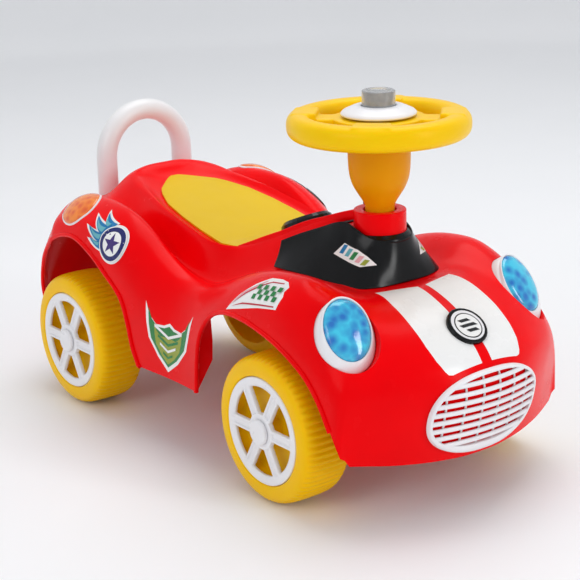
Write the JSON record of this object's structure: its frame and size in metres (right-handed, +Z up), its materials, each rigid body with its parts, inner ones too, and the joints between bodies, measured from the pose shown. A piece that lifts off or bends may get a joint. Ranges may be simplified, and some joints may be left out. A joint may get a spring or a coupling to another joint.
{
  "type": "kids push car",
  "caption": "Ride-on toy car for a small child: moulded shell body, seat, steered front axle, ribbed wheels and a rear push handle.",
  "frame": {"origin": "on the ground, under the middle of the car's bounding box", "axes": "+X towards the nose, +Y towards the car's left side, +Z up"},
  "size_m": [0.6548, 0.319, 0.389],
  "materials": {
    "red_plastic": "glossy moulded",
    "yellow_plastic": "satin moulded",
    "white_plastic": "glossy moulded",
    "black_plastic": "glossy moulded",
    "blue_lens": "clear tinted",
    "orange_lens": "clear tinted",
    "smoky_plastic": "clear tinted",
    "zinc_steel": "zinc plated"
  },
  "bodies": {
    "body": {"body_shell": "red_plastic", "seat_panel": "yellow_plastic", "dash_panel": "black_plastic", "gauge_pod": "black_plastic", "windscreen": "black_plastic", "push_handle": "white_plastic", "headlamp_bezel_l": "white_plastic", "headlamp_bezel_r": "white_plastic", "headlamp_lens_l": "blue_lens", "headlamp_lens_r": "blue_lens", "tail_light_l": "orange_lens", "tail_light_r": "orange_lens", "grille": "white_plastic", "badge_dish": "black_plastic", "badge_face": "white_plastic", "rear_axle_carrier": "black_plastic", "carrier_screw_front_l": "zinc_steel", "carrier_screw_front_r": "zinc_steel", "carrier_screw_rear_l": "zinc_steel", "carrier_screw_rear_r": "zinc_steel", "rear_axle": "zinc_steel", "axle_washer_rear_l": "zinc_steel", "axle_washer_rear_r": "zinc_steel"},
    "steering": {"front_yoke": "black_plastic", "thrust_washer": "zinc_steel", "steering_rod": "zinc_steel", "steering_column": "yellow_plastic", "steering_wheel": "yellow_plastic", "wheel_boss_dome": "white_plastic", "column_screw": "zinc_steel", "front_axle": "zinc_steel", "axle_washer_front_l": "zinc_steel", "axle_washer_front_r": "zinc_steel"},
    "horn": {"horn_button": "smoky_plastic"},
    "wheel_front_l": {"tyre_front_l": "yellow_plastic", "rim_front_l": "white_plastic", "hub_cap_front_l": "white_plastic"},
    "wheel_front_r": {"tyre_front_r": "yellow_plastic", "rim_front_r": "white_plastic", "hub_cap_front_r": "white_plastic"},
    "wheel_rear_l": {"tyre_rear_l": "yellow_plastic", "rim_rear_l": "white_plastic", "hub_cap_rear_l": "white_plastic"},
    "wheel_rear_r": {"tyre_rear_r": "yellow_plastic", "rim_rear_r": "white_plastic", "hub_cap_rear_r": "white_plastic"}
  },
  "joints": [
    {"name": "steer", "type": "hinge", "parent": "body", "child": "steering", "pos_m": [0.1615, 0, 0.2], "axis": [0, 0, 1], "range_deg": [-12, 12]},
    {"name": "horn_press", "type": "slide", "parent": "steering", "child": "horn", "axis": [0, 0, -1], "range_m": [0, 0.004], "stiffness_N_per_m": 500, "springref_m": -0.002},
    {"name": "spin_front_l", "type": "hinge", "parent": "steering", "child": "wheel_front_l", "pos_m": [0.1615, 0.125, 0.075], "axis": [0, 1, 0], "continuous": true},
    {"name": "spin_front_r", "type": "hinge", "parent": "steering", "child": "wheel_front_r", "pos_m": [0.1615, -0.125, 0.075], "axis": [0, 1, 0], "continuous": true},
    {"name": "spin_rear_l", "type": "hinge", "parent": "body", "child": "wheel_rear_l", "pos_m": [-0.2085, 0.125, 0.075], "axis": [0, 1, 0], "continuous": true},
    {"name": "spin_rear_r", "type": "hinge", "parent": "body", "child": "wheel_rear_r", "pos_m": [-0.2085, -0.125, 0.075], "axis": [0, 1, 0], "continuous": true}
  ]
}
